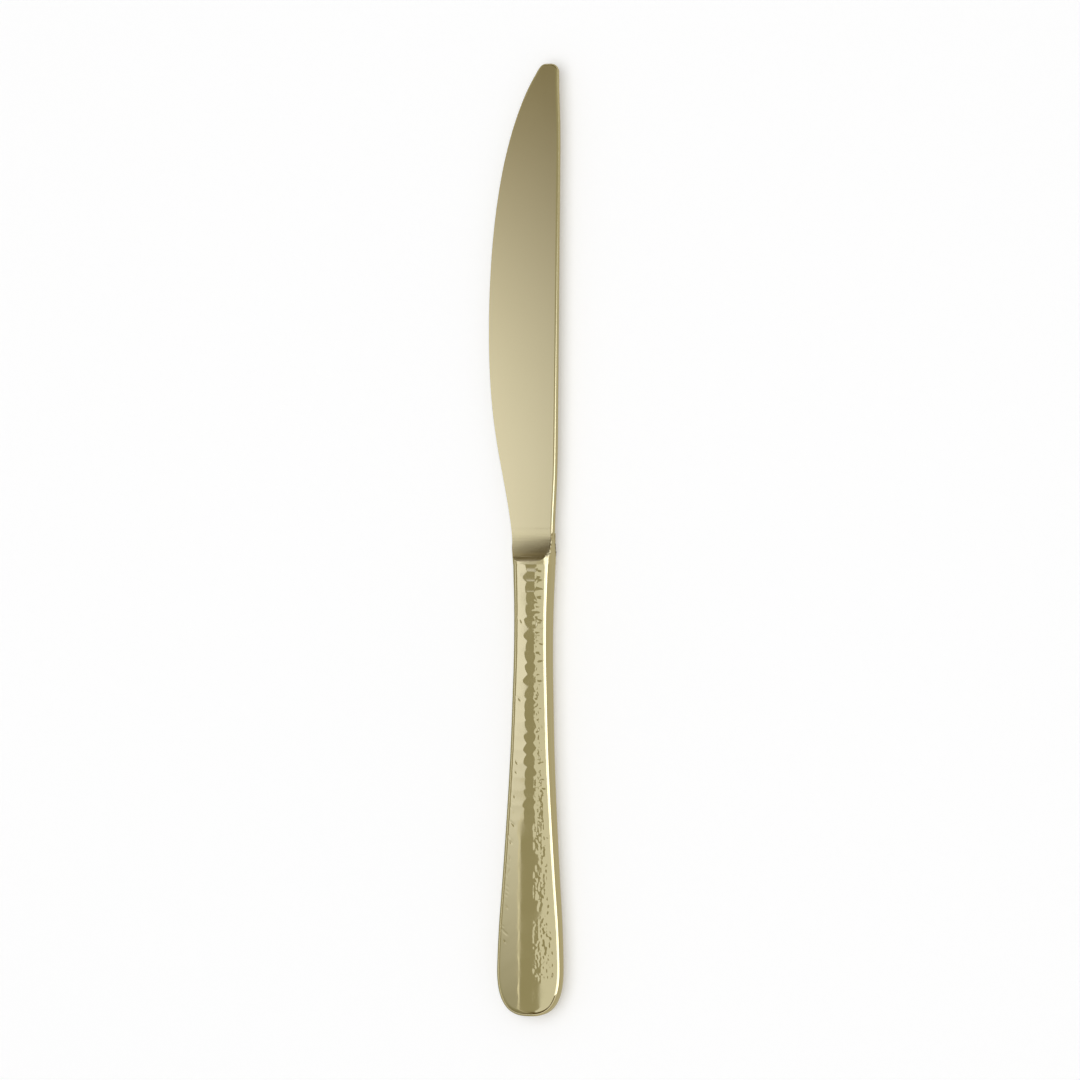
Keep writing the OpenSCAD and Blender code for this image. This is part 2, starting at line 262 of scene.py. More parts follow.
class Bench:
    """The modelling moves that every piece shares."""

    @staticmethod
    def clear() -> None:
        """Leave edit mode and deselect everything."""
        if bpy.context.object and bpy.context.object.mode != "OBJECT":
            bpy.ops.object.mode_set(mode="OBJECT")
        bpy.ops.object.select_all(action="DESELECT")

    @staticmethod
    def pick(piece: Object) -> None:
        """Select one object and make it the active one.

        Args:
            piece: the object.
        """
        Bench.clear()
        piece.select_set(True)
        bpy.context.view_layer.objects.active = piece

    @staticmethod
    def edit(piece: Object, kind: str = "FACE") -> bmesh.types.BMesh:
        """Open one object in edit mode, to pick faces or edges, with none picked.

        Args:
            piece: the object.
            kind: FACE or EDGE, which is what can be picked.

        Returns:
            Its edit mesh.
        """
        Bench.pick(piece)
        bpy.ops.object.mode_set(mode="EDIT")
        bpy.ops.mesh.select_mode(type=kind)
        bpy.ops.mesh.select_all(action="DESELECT")
        return bmesh.from_edit_mesh(piece.data)

    @staticmethod
    def block(size: tuple, middle: tuple) -> Object:
        """Add a block.

        Args:
            size: its width, length and height.
            middle: the place of its middle.

        Returns:
            The block.
        """
        Bench.clear()
        bpy.ops.mesh.primitive_cube_add(size=1)
        block = bpy.context.object
        block.scale = size
        block.location = middle
        bpy.ops.object.transform_apply(location=True, rotation=True, scale=True)
        return block

    @staticmethod
    def show(piece: Object) -> None:
        """Tell Blender that the selection of the edit mesh has changed."""
        bmesh.from_edit_mesh(piece.data).select_flush_mode()
        bmesh.update_edit_mesh(piece.data)

    @staticmethod
    def outward(piece: Object) -> None:
        """Merge doubles and turn every face outwards.

        Args:
            piece: the mesh to clean up.
        """
        Bench.edit(piece)
        bpy.ops.mesh.select_all(action="SELECT")
        bpy.ops.mesh.remove_doubles(threshold=TINY / 2)
        bpy.ops.mesh.normals_make_consistent(inside=False)
        Bench.clear()

    @staticmethod
    def apply(piece: Object) -> None:
        """Apply every modifier of one object, in order.

        Args:
            piece: the object that has them.
        """
        Bench.pick(piece)
        for modifier in list(piece.modifiers):
            bpy.ops.object.modifier_apply(modifier=modifier.name)

    @staticmethod
    def cut(piece: Object, tool: Object, how: str = "DIFFERENCE") -> None:
        """Cut one solid with another, or join or intersect them, and throw the tool away.

        Args:
            piece: the solid that stays.
            tool: the solid that shapes it.
            how: DIFFERENCE, UNION or INTERSECT.
        """
        boolean = piece.modifiers.new("cut", "BOOLEAN")
        boolean.operation = how
        boolean.solver = "EXACT"
        boolean.object = tool
        Bench.apply(piece)
        bpy.data.objects.remove(tool)

    @staticmethod
    def from_grid(name: str, points: np.ndarray, faces: list) -> Object:
        """Make a mesh object of points and faces that were worked out by a formula.

        Args:
            name: its name.
            points: x, y and z of each point.
            faces: the point numbers of each face.

        Returns:
            The new object.
        """
        mesh = bpy.data.meshes.new(name)
        mesh.from_pydata(points.tolist(), [], faces)
        mesh.update()
        made = bpy.data.objects.new(name, mesh)
        bpy.context.scene.collection.objects.link(made)
        return made

    @staticmethod
    def finish(piece: Object, name: str, node: str, slot: Slot, material: Material) -> None:
        """Name and dress a finished piece, and let it stand for its CAD node.

        Args:
            piece: the finished mesh.
            name: the name that it is kept under.
            node: the CAD node that it replaces.
            slot: the record's material slot, which is not used.
            material: its finish.
        """
        Bench.pick(piece)
        bpy.ops.object.transform_apply(location=True, rotation=True, scale=True)
        piece.name = name
        piece.data.name = name
        piece.data.materials.clear()
        piece.data.materials.append(material)
        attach(piece, BODY)
        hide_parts(node)
        log.info("%s: %d faces", name, len(piece.data.polygons))


def cubic(a: tuple, b: tuple, c: tuple, d: tuple, steps: int) -> list[Vector]:
    """Points of a cubic curve from a to d, guided by b and c, without its first point.

    Args:
        a: where it starts.
        b: its first guide.
        c: its second guide.
        d: where it ends.
        steps: how many points it gives.

    Returns:
        The points.
    """
    points = []
    for i in range(1, steps + 1):
        t = i / steps
        s = 1 - t
        ends = s**3 * Vector(a) + t**3 * Vector(d)
        points.append(ends + 3 * s * s * t * Vector(b) + 3 * s * t * t * Vector(c))
    return points


@dataclass
class HandleForm:
    """Shape of the handle without its hammering: its width, thickness and round corner along its length."""

    neck_w: float = 9.3 * MM
    round_l: float = 12.4 * MM
    butt_t: float = 5 * MM
    squareness: float = 2.65
    shoulder_r: float = 2.6 * MM
    butt_corner_r: float = 1.5 * MM
    crown_r: float = 60 * MM
    swell_stations: tuple = (0, 0.1, 0.2, 0.3, 0.4, 0.5, 0.6, 0.7, 0.8, 0.89, 1)
    swell_shares: tuple = (0.1, 0.005, 0, 0.073, 0.166, 0.307, 0.484, 0.678, 0.892, 1, 1)

    def __post_init__(self) -> None:
        """Read what the frame gives: the handle's place, length, width and thickness."""
        low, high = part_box("handle_front_shell")
        weld_low, weld_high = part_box("seam_weld")
        self.axis_x = (low.x + high.x) / 2
        self.mouth_y = high.y
        self.length = high.y - low.y
        self.butt_w = high.x - low.x
        self.mid_z = (weld_low.z + weld_high.z) / 2
        self.weld_t = weld_high.z - weld_low.z
        self.mouth_t = 2 * (high.z - self.mid_z)
        side = self.half_outline()
        self.side_d, self.side_w = side[:, 1], side[:, 0]

    def swell(self, d: np.ndarray) -> np.ndarray:
        """Share of the way from neck width to butt width, by the same smooth table as the CAD source.

        Args:
            d: distances behind the mouth.

        Returns:
            The share at each of them.
        """
        xs, ys = np.array(self.swell_stations), np.array(self.swell_shares)
        before = np.concatenate([[0], np.arange(len(xs) - 1)])
        after = np.concatenate([np.arange(1, len(xs)), [len(xs) - 1]])
        slopes = (ys[after] - ys[before]) / (xs[after] - xs[before])
        x = np.clip(d / self.length, 0, 1)
        i = np.clip(np.searchsorted(xs, x, side="right") - 1, 0, len(xs) - 2)
        span = xs[i + 1] - xs[i]
        t = (x - xs[i]) / span
        return (
            (1 + 2 * t) * (1 - t) ** 2 * ys[i] + t * (1 - t) ** 2 * span * slopes[i]
            + t * t * (3 - 2 * t) * ys[i + 1] - t * t * (1 - t) * span * slopes[i + 1]
        )

    def half_width(self, d: float) -> float:
        """Half the width at a distance behind the mouth."""
        return float(np.interp(d, self.side_d, self.side_w))

    def half_thickness(self, d: np.ndarray) -> np.ndarray:
        """Half the thickness at a distance behind the mouth."""
        return (self.mouth_t + (self.butt_t - self.mouth_t) * d / self.length) / 2

    def corner_radius(self, d: np.ndarray) -> np.ndarray:
        """Radius between face and side, which shrinks towards the thin butt."""
        return self.shoulder_r + (self.butt_corner_r - self.shoulder_r) * d / self.length

    def crown(self, x: np.ndarray) -> np.ndarray:
        """How far the slightly crowned face falls from its middle."""
        return x * x / (2 * self.crown_r)

    def half_outline(self, steps: int = 4000) -> np.ndarray:
        """Fine points down one side of the outline, from the mouth to the middle of the butt.

        Args:
            steps: points down the side, and again round the butt.

        Returns:
            Distance from the axis and distance behind the mouth of each point.
        """
        start = self.length - self.round_l
        straight = np.linspace(0, start, steps, endpoint=False)
        full = (self.neck_w + (self.butt_w - self.neck_w) * self.swell(straight)) / 2
        side = np.column_stack([full, straight])
        turn = np.linspace(0, math.pi / 2, steps)
        power = 2 / self.squareness
        past = self.round_l * np.sin(turn) ** power
        wide = (self.neck_w + (self.butt_w - self.neck_w) * self.swell(start + past)) / 2
        butt = np.column_stack([wide * np.cos(turn) ** power, start + past])
        return np.vstack([side, butt])


def run_along(line: np.ndarray) -> np.ndarray:
    """Length along a line, from its start to each of its points."""
    return np.concatenate([[0], np.cumsum(np.linalg.norm(np.diff(line, axis=0), axis=1))])


def resample(line: np.ndarray, shares: np.ndarray) -> np.ndarray:
    """Points of a line at shares of its whole length."""
    run = run_along(line)
    return np.column_stack([np.interp(shares * run[-1], run, line[:, k]) for k in range(line.shape[1])])


def inward_from(side: np.ndarray) -> np.ndarray:
    """Unit directions that point into the handle from the points of one side of its outline.

    Args:
        side: points from the mouth to the middle of the butt.

    Returns:
        The direction at each point.
    """
    tangents = np.gradient(side, axis=0)
    inward = np.column_stack([-tangents[:, 1], tangents[:, 0]])
    inward /= np.linalg.norm(inward, axis=1)[:, None]
    inward[0] = (-1, 0)
    inward[-1] = (0, -1)
    return inward


def quads(numbers: np.ndarray) -> list[list[int]]:
    """Faces between the neighbours in a grid of point numbers."""
    corners = (numbers[:-1, :-1], numbers[:-1, 1:], numbers[1:, 1:], numbers[1:, :-1])
    return np.stack(corners, axis=-1).reshape(-1, 4).tolist()


def about(x: np.ndarray, d: np.ndarray, across: float, along: float, turn: float) -> tuple:
    """Distances along and across a mark, for places x and d, from its middle and its turn."""
    dx, dd = x - across, d - along
    return dx * math.cos(turn) + dd * math.sin(turn), dd * math.cos(turn) - dx * math.sin(turn)


@dataclass(frozen=True)
class MarkChain:
    """One line of hammer marks along the handle: shallow caps, each ending where the next is deeper."""

    x: float
    pitch: float
    hammer_r: float
    depth: float
    stretch: float
    wobble: float
    first_shares: tuple = (0.2, 0.6)
    depth_scatter: float = 0.05
    pitch_scatter: float = 0.14

    def depths(self, rng: np.random.Generator, x: np.ndarray, d: np.ndarray, reach: float) -> np.ndarray:
        """Depth of this chain's marks, down to a distance behind the mouth.

        Args:
            rng: the face's random numbers.
            x: distance of each point from the handle's axis, towards the spine side.
            d: distance of each point behind the mouth.
            reach: that distance behind the mouth.

        Returns:
            The depth at each point, which is below zero between the marks.
        """
        deepest = np.full_like(x, -1.0)
        along = self.pitch * rng.uniform(*self.first_shares)
        while along < reach:
            across = self.x + self.wobble * rng.uniform(-1, 1)
            away = (x - across) ** 2 + (self.stretch * (d - along)) ** 2
            cap = self.depth * (1 + self.depth_scatter * rng.uniform(-1, 1)) - away / (2 * self.hammer_r)
            deepest = np.maximum(deepest, cap)
            along += self.pitch * (1 + self.pitch_scatter * rng.uniform(-1, 1))
        return deepest


@dataclass
class Hammering:
    """What the hammer left on one face, as a depth below the smooth form.

    Broad facets run down the middle, small pits crowd the spine side, and a few nicks lie on the edge side.
    """

    seed: int
    # Place across the handle, pitch, hammer's radius, depth, stretch and wobble of each chain
    chains: tuple = (
        MarkChain(0.7 * MM, 2.8 * MM, 50 * MM, 0.060 * MM, 1.6, 0.25 * MM),
        MarkChain(-2.6 * MM, 3.6 * MM, 60 * MM, 0.074 * MM, 1.2, 0.4 * MM),
        MarkChain(3.3 * MM, 2.2 * MM, 20 * MM, 0.076 * MM, 0.9, 0.3 * MM),
        MarkChain(5.6 * MM, 2.6 * MM, 20 * MM, 0.076 * MM, 0.9, 0.3 * MM),
        MarkChain(-5.9 * MM, 3.4 * MM, 40 * MM, 0.08 * MM, 0.8, 0.3 * MM),
    )
    # How far the marks keep from the outline, and over how much more they grow, in shares of the corner
    land_share: float = 0.3
    growth_share: float = 0.5
    lead_in: float = 0.5 * MM
    facet_reach: float = 60 * MM
    facet_fade: float = 8 * MM
    pit_r: float = 0.3 * MM
    pit_r_scatter: float = 0.4
    pit_stretches: tuple = (1.0, 2.2)
    pit_depth: float = 0.07 * MM
    pit_depth_shares: tuple = (0.5, 1.3)
    pit_pitch: float = 0.5 * MM
    # The band of pits moves inwards and widens between these two distances behind the mouth
    pit_widening: tuple = (55 * MM, 65 * MM)
    pit_insets: tuple = (1.9 * MM, 2.7 * MM)
    pit_spreads: tuple = (0.9 * MM, 1.9 * MM)
    pit_end: float = 10 * MM
    worm_size: float = 0.8 * MM
    worm_depth: float = 0.04 * MM
    worm_start: float = 1.5 * MM
    worm_lead: float = 0.6 * MM
    # The clusters crowd together, and the waves grow, between these two distances behind the mouth
    crowding: tuple = (50 * MM, 65 * MM)
    cluster_shares: tuple = (0.35, 0.85)
    cluster_contrast: float = 3.0
    cluster_size: float = 6 * MM
    wave_start: float = -2 * MM
    wave_lead: float = 2 * MM
    wave_size: float = 3.2 * MM
    wave_stretch: float = 0.35
    wave_depth: float = 0.018 * MM
    seed_step: tuple = (3.7, 1.3)
    nick_depth: float = 0.08 * MM
    nick_slant_deg: float = 40.0
    nick_slant_scatter_deg: float = 15.0
    nick_width_share: float = 0.2
    # Distance behind the mouth, distance from the outline and half length of each long nick, in millimetres
    long_nicks: tuple = ((13.5, 2.4, 0.95), (33, 2.4, 0.95), (64, 2.4, 0.95), (91, 2.4, 0.95))
    # The least and the most of the same three for the small ones
    small_nicks: int = 26
    small_nick_spans: tuple = ((48, 94), (1.6, 2.6), (0.3, 0.6))

    def depth(self, form: HandleForm, x: np.ndarray, d: np.ndarray, e: np.ndarray) -> np.ndarray:
        """Depth of the hammering.

        Args:
            form: the handle's form.
            x: distance from the handle's axis, towards the spine side.
            d: distance behind the mouth.
            e: distance from the handle's outline.

        Returns:
            The depth at each point.
        """
        rng = np.random.default_rng(self.seed)
        corner = form.corner_radius(d)
        from_shoulder = np.clip((e - self.land_share * corner) / (self.growth_share * corner), 0, 1)
        depth = self.facets(rng, x, d)
        depth = depth + self.pits(rng, form, x, d) + self.worms(x, d) + self.nicks(rng, form, x, d)
        return depth * from_shoulder * np.clip(d / self.lead_in, 0, 1)

    def facets(self, rng: np.random.Generator, x: np.ndarray, d: np.ndarray) -> np.ndarray:
        """Broad, shallow facets with crisp edges, which fade out towards the butt.

        Args:
            rng: the face's random numbers.
            x: distance of each point from the handle's axis, towards the spine side.
            d: distance of each point behind the mouth.

        Returns:
            The depth at each point.
        """
        reach = self.facet_reach + self.facet_fade
        deepest = np.max([chain.depths(rng, x, d, reach + chain.pitch) for chain in self.chains], axis=0)
        share = np.clip((reach - d) / self.facet_fade, 0, 1)
        return np.maximum(deepest, 0) * share * share * (3 - 2 * share)

    def pits(self, rng: np.random.Generator, form: HandleForm, x: np.ndarray, d: np.ndarray) -> np.ndarray:
        """Small round pits in a wandering band beside the spine-side shoulder.

        Args:
            rng: the face's random numbers.
            form: the handle's form.
            x: distance of each point from the handle's axis, towards the spine side.
            d: distance of each point behind the mouth.

        Returns:
            The depth at each point.
        """
        depth = np.zeros_like(x)
        for row in range(int(form.length / self.pit_pitch)):
            along = (row + rng.uniform(0, 1)) * self.pit_pitch
            inset = np.interp(along, self.pit_widening, self.pit_insets)
            spread = np.interp(along, self.pit_widening, self.pit_spreads)
            across = form.half_width(along) - inset - spread * rng.uniform(-1, 1)
            size = self.pit_r * (1 + self.pit_r_scatter * rng.uniform(-1, 1))
            long = size * rng.uniform(*self.pit_stretches)
            turn = rng.uniform(0, math.pi)
            deep = self.pit_depth * rng.uniform(*self.pit_depth_shares)
            if along < form.length - self.pit_end:
                u, v = about(x, d, across, along, turn)
                depth = depth + deep * np.exp(-((u / size) ** 2) - (v / long) ** 2)
        return depth

    def worms(self, x: np.ndarray, d: np.ndarray) -> np.ndarray:
        """Clusters of fine, wormy dents on the spine side, and faint slanting waves on the edge side.

        Args:
            x: distance of each point from the handle's axis, towards the spine side.
            d: distance of each point behind the mouth.

        Returns:
            The depth at each point.
        """
        depth = np.zeros_like(x)
        crowded = np.interp(d, self.crowding, (0, 1))
        shift = Vector((self.seed_step[0] * self.seed, self.seed_step[1] * self.seed, 0))
        for i in np.nonzero(x > self.worm_start)[0]:
            place = Vector((x[i], d[i], 0.0))
            cluster = self.cluster_contrast * noise.noise(place / self.cluster_size + shift)
            cluster += np.interp(crowded[i], (0, 1), self.cluster_shares)
            share = min(1.0, max(0.0, cluster)) * min(1.0, (x[i] - self.worm_start) / self.worm_lead)
            if share > 0:
                worm = 1 - 2 * abs(noise.noise(place / self.worm_size + shift))
                depth[i] = share * self.worm_depth * worm
        for i in np.nonzero((x < self.wave_start) & (crowded > 0))[0]:
            lean = Vector((x[i] + d[i], self.wave_stretch * (d[i] - x[i]), 0.0))
            share = crowded[i] * min(1.0, (self.wave_start - x[i]) / self.wave_lead)
            depth[i] = share * self.wave_depth * noise.noise(lean / self.wave_size + shift)
        return depth

    def nicks(self, rng: np.random.Generator, form: HandleForm, x: np.ndarray, d: np.ndarray) -> np.ndarray:
        """Short slanting nicks beside the edge-side corner, and many small ones along it further down.

        Args:
            rng: the face's random numbers.
            form: the handle's form.
            x: distance of each point from the handle's axis, towards the spine side.
            d: distance of each point behind the mouth.

        Returns:
            The depth at each point.
        """
        depth = np.zeros_like(x)
        small = [[rng.uniform(*span) for span in self.small_nick_spans] for _ in range(self.small_nicks)]
        for nick in (*self.long_nicks, *small):
            along, inset, long = (size * MM for size in nick)
            slant = math.radians(self.nick_slant_deg + self.nick_slant_scatter_deg * rng.uniform(-1, 1))
            u, v = about(x, d, inset - form.half_width(along), along, slant)
            cut = np.exp(-((u / long) ** 4) - (v / (self.nick_width_share * long)) ** 2)
            depth = depth + self.nick_depth * cut
        return depth


@dataclass
class HandleShell:
    """One pressed half of the hollow handle: a hammered face, a round corner, a smooth side and its wall.

    It is lofted point by point, because no operator gives an even corner round a squared end.
    """

    form: HandleForm
    face: Face
    name: str
    node: str
    hammering: Hammering
    wall: float = 0.9 * MM
    rows: int = 430
    columns: int = 62
    corner_steps: int = 10
    side_steps: int = 3
    cap_l: float = 7 * MM

    def chain(self) -> tuple[np.ndarray, np.ndarray]:
        """Outline points from the mouth round the butt and back, and the directions that point inwards.

        Returns:
            The points, as distances from the axis and behind the mouth, and the direction at each.
        """
        half = self.form.half_outline()
        side_share = 1 - self.cap_l / run_along(half)[-1]
        marks = np.concatenate([
            np.linspace(0, side_share, self.rows + 1),
            np.linspace(side_share, 1, self.columns // 2 + 1)[1:],
        ])
        points = resample(half, marks)
        inward = inward_from(points)
        straight = points[:, 1] < self.form.length - self.form.round_l
        inward[straight] = (-1, 0)
        mirror = np.array([-1, 1])
        left, left_in = points * mirror, inward * mirror
        return np.vstack([left, points[-2::-1]]), np.vstack([left_in, inward[-2::-1]])

    def sheet(self) -> Object:
        """The outer skin, as a grid on the face with strips that run down round the corner to the rim.

        Returns:
            The skin, which has no thickness yet.
        """
        form, n, m = self.form, self.rows, self.columns
        outline, inward = self.chain()
        corner = form.corner_radius(outline[:, 1])
        inner = outline + inward * corner[:, None]
        left, end, right = inner[: n + 1], inner[n : n + m + 1], inner[n + m :][::-1]
        mouth = np.column_stack([np.linspace(left[0, 0], right[0, 0], m + 1), np.zeros(m + 1)])
        u = np.linspace(0, 1, m + 1)[None, :, None]
        v = np.linspace(0, 1, n + 1)[:, None, None]
        patch = (1 - u) * left[:, None] + u * right[:, None] + (1 - v) * mouth[None] + v * end[None]
        patch -= (1 - v) * ((1 - u) * left[0] + u * right[0]) + v * ((1 - u) * left[-1] + u * right[-1])
        flat = patch.reshape(-1, 2)
        edge = self.edge_distance(flat, outline, inward)
        places = [(flat, edge, np.zeros(len(flat)))]
        for k in range(1, self.corner_steps + 1):
            a = math.pi / 2 * (1 - k / self.corner_steps)
            e = corner * (1 - math.cos(a))
            places.append((outline + inward * e[:, None], e, corner * (1 - math.sin(a))))
        points = [self.raise_points(xd, e, drop) for xd, e, drop in places]
        rim = points[-1].copy()
        for k in range(1, self.side_steps + 1):
            lower = rim.copy()
            share = k / self.side_steps
            lower[:, 2] = rim[:, 2] * (1 - share) + form.weld_t / 2 * share
            points.append(lower)
        stacked = np.vstack(points)
        stacked[:, 2] *= self.face.value
        stacked += np.array([form.axis_x, form.mouth_y, form.mid_z])
        return Bench.from_grid(self.name, stacked, self.faces(n, m, len(outline)))

    def edge_distance(self, points: np.ndarray, outline: np.ndarray, inward: np.ndarray) -> np.ndarray:
        """Distance of each face point from the outline.

        Args:
            points: the points of the face.
            outline: the points of the outline.
            inward: the directions that point inwards from those.

        Returns:
            The distance of each point of the face.
        """
        tree = KDTree(len(outline))
        for i, (x, d) in enumerate(outline):
            tree.insert((x, d, 0), i)
        tree.balance()
        found = [tree.find((x, d, 0)) for x, d in points]
        away = ((Vector(point) - near.xy, Vector(inward[i])) for point, (near, i, _) in zip(points, found))
        return np.array([abs(way.dot(direction)) for way, direction in away])

    def raise_points(self, xd: np.ndarray, e: np.ndarray, drop: np.ndarray) -> np.ndarray:
        """Give points of the plan their height above the middle plane.

        Args:
            xd: distances from the axis and behind the mouth.
            e: distances from the outline.
            drop: how far the round corner lies below the face there.

        Returns:
            The points about the middle of the mouth.
        """
        x, d = xd[:, 0], xd[:, 1]
        depth = self.hammering.depth(self.form, x, d, e)
        z = self.form.half_thickness(d) - self.form.crown(x) - drop - depth
        return np.column_stack([x, -d, np.maximum(z, self.form.weld_t / 2)])

    def faces(self, n: int, m: int, chain: int) -> list[list[int]]:
        """Quads of the face grid, of n by m, and of the strips round it, all turned outwards.

        Args:
            n: rows of the face grid.
            m: its columns.
            chain: how many points the outline has.

        Returns:
            The point numbers of each face.
        """
        grid = np.arange((n + 1) * (m + 1)).reshape(n + 1, m + 1)
        border = np.concatenate([grid[:-1, 0], grid[-1], grid[-2::-1, -1]])
        strips = self.corner_steps + self.side_steps
        rings = grid.size + np.arange(strips * chain).reshape(strips, chain)
        made = quads(grid.T) + quads(np.vstack([border, rings])[:, ::-1])
        return made if self.face is Face.FRONT else [quad[::-1] for quad in made]

    def build(self, material: Material) -> None:
        """Make the shell and dress it.

        Args:
            material: its finish.
        """
        shell = self.sheet()
        Bench.pick(shell)
        wall = shell.modifiers.new("wall", "SOLIDIFY")
        wall.thickness = self.wall
        wall.offset = -1
        wall.use_even_offset = True
        Bench.apply(shell)
        bpy.ops.object.shade_smooth_by_angle(angle=SMOOTH_BELOW)
        Bench.finish(shell, self.name, self.node, Slot.HANDLE, material)


@dataclass
class Blade:
    """Forged blade: two ground flanks, a cove in front of the bolster, and the spigot and tang behind it."""

    form: HandleForm
    name: str = "knife_blade"
    node: str = "blade"
    belly_at: float = 60.3 * MM
    spine_h: float = 5.7 * MM
    spine_rise_l: float = 31 * MM
    heel_t: float = 2.4 * MM
    tip_t: float = 1.6 * MM
    edge_t: float = 0.4 * MM
    cove_r: float = 12 * MM
    cove_land: float = 0.4 * MM
    tip_w: float = 6.4 * MM
    tip_nose_l: float = 3 * MM
    tip_r: float = 2.1 * MM
    tip_drop: float = 0.5 * MM
    tip_drop_l: float = 20 * MM
    spine_round: float = 0.6 * MM
    edge_round: float = 0.12 * MM
    round_from: float = 2.2 * MM
    nose_lead: float = 20 * MM
    sharp: float = math.radians(38)
    square: float = math.radians(80)
    crease: float = math.radians(30)
    bolster_segments: int = 12
    spigot_segments: int = 4
    round_segments: int = 4
    spigot_l: float = 5 * MM
    tang_l: float = 42 * MM
    tang_share: float = 0.9
    overlap: float = 0.5 * MM
    spigot_inset: float = 1.1 * MM
    core_half: float = 1.17 * MM
    crown_strip: float = 0.9 * MM
    crown_strips: int = 2
    heel_out_share: float = 0.38
    heel_depth_share: float = 0.54
    heel_in_share: float = 0.53
    belly_out_share: float = 0.564
    nose_back_share: float = 0.136
    nose_depth_share: float = 0.4
    nose_turn_share: float = 0.62
    steps: int = 40
    cove_steps: int = 48

    def __post_init__(self) -> None:
        """Read the blade's length and depth from the frame."""
        low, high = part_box(self.node)
        self.length = high.y - self.form.mouth_y
        self.belly_depth = self.form.axis_x - low.x
        self.mouth_w = self.form.half_width(0)

    def outline(self) -> list[Vector]:
        """Outline up the spine from the mouth, round the tip and back along the edge, about the axis.

        Returns:
            The points, which start and end at the mouth.
        """
        spine_tip = self.spine_h - self.tip_drop
        nose = (spine_tip - self.tip_w, self.length - self.tip_nose_l)
        belly = (-self.belly_depth, self.belly_at)
        to_tip = nose[1] - belly[1]
        rise, top, drop_l = self.spine_rise_l, self.length - self.tip_r, self.tip_drop_l
        half_nose = self.tip_nose_l / 2
        points = [Vector((self.mouth_w, 0))]
        points += cubic((self.mouth_w, 0), (self.mouth_w, rise / 2), (self.spine_h, rise / 2),
                        (self.spine_h, rise), self.steps)
        points += cubic((self.spine_h, top - drop_l), (self.spine_h, top - drop_l / 2),
                        (spine_tip, top - drop_l / 3), (spine_tip, top), self.steps)
        for i in range(1, self.steps // 2 + 1):
            a = math.pi / self.steps * i
            round_tip = Vector((math.cos(a) - 1, math.sin(a))) * self.tip_r
            points.append(Vector((spine_tip, top)) + round_tip)
        points += cubic((nose[0] + 2 * half_nose, self.length), (nose[0] + half_nose, self.length),
                        (nose[0] + self.nose_turn_share * half_nose, nose[1] + half_nose), nose,
                        self.steps // 2)
        leave = (nose[0] - self.nose_depth_share * self.belly_depth, nose[1] - self.nose_back_share * to_tip)
        above = (belly[0], belly[1] + self.belly_out_share * to_tip)
        points += cubic(nose, leave, above, belly, 2 * self.steps)
        below = (belly[0], belly[1] - self.heel_in_share * self.belly_at)
        arrive = (-self.heel_depth_share * self.belly_depth, self.heel_out_share * self.belly_at)
        points += cubic(belly, below, arrive, (-self.mouth_w, 0), 2 * self.steps)
        return points

    def blank(self) -> Object:
        """The blank: a plate with the blade's outline, and a bolster with rounded, crowned faces.

        Returns:
            The blank, as a closed solid in its place.
        """
        form = self.form
        outline = self.outline()
        place = Vector((form.axis_x, form.mouth_y, form.mid_z - self.core_half))
        Bench.clear()
        bpy.ops.mesh.primitive_circle_add(vertices=len(outline), radius=self.length / 2, fill_type="NGON")
        blank = bpy.context.object
        for vertex, point in zip(blank.data.vertices, outline):
            vertex.co = place + point.to_3d()
        Bench.edit(blank)
        bpy.ops.mesh.select_all(action="SELECT")
        front = (form.axis_x, form.mouth_y + self.cove_r, form.mid_z)
        bpy.ops.mesh.bisect(plane_co=front, plane_no=(0, 1, 0))
        for i in range(-self.crown_strips, self.crown_strips + 1):
            self.pick_faces(blank, lambda c: c.y < front[1])
            across = form.axis_x + i * self.crown_strip
            bpy.ops.mesh.bisect(plane_co=(across, 0, 0), plane_no=(1, 0, 0))
        bpy.ops.mesh.select_all(action="SELECT")
        bpy.ops.mesh.extrude_region_move(TRANSFORM_OT_translate={"value": (0, 0, 2 * self.core_half)})
        bpy.ops.mesh.select_all(action="SELECT")
        bpy.ops.mesh.normals_make_consistent(inside=False)
        for side in Face:
            self.pick_faces(blank, lambda c: c.y < front[1] and (c.z - form.mid_z) * side.value > 0)
            lift = (form.mouth_t / 2 - self.core_half) * side.value
            bpy.ops.mesh.extrude_region_move(TRANSFORM_OT_translate={"value": (0, 0, lift)})
        self.round_bolster(blank, front[1])
        Bench.outward(blank)
        return blank

    @staticmethod
    def pick_faces(piece: Object, wanted: Callable[[Vector], bool]) -> None:
        """Select the level faces of the edit mesh whose middle is wanted, and no others.

        Args:
            piece: the object, in edit mode.
            wanted: tells from a face's middle whether it is wanted.
        """
        bpy.ops.mesh.select_mode(type="FACE")
        bpy.ops.mesh.select_all(action="DESELECT")
        edit = bmesh.from_edit_mesh(piece.data)
        for face in edit.faces:
            face.select_set(bool(wanted(face.calc_center_median())) and abs(face.normal.z) > FACING)
        Bench.show(piece)

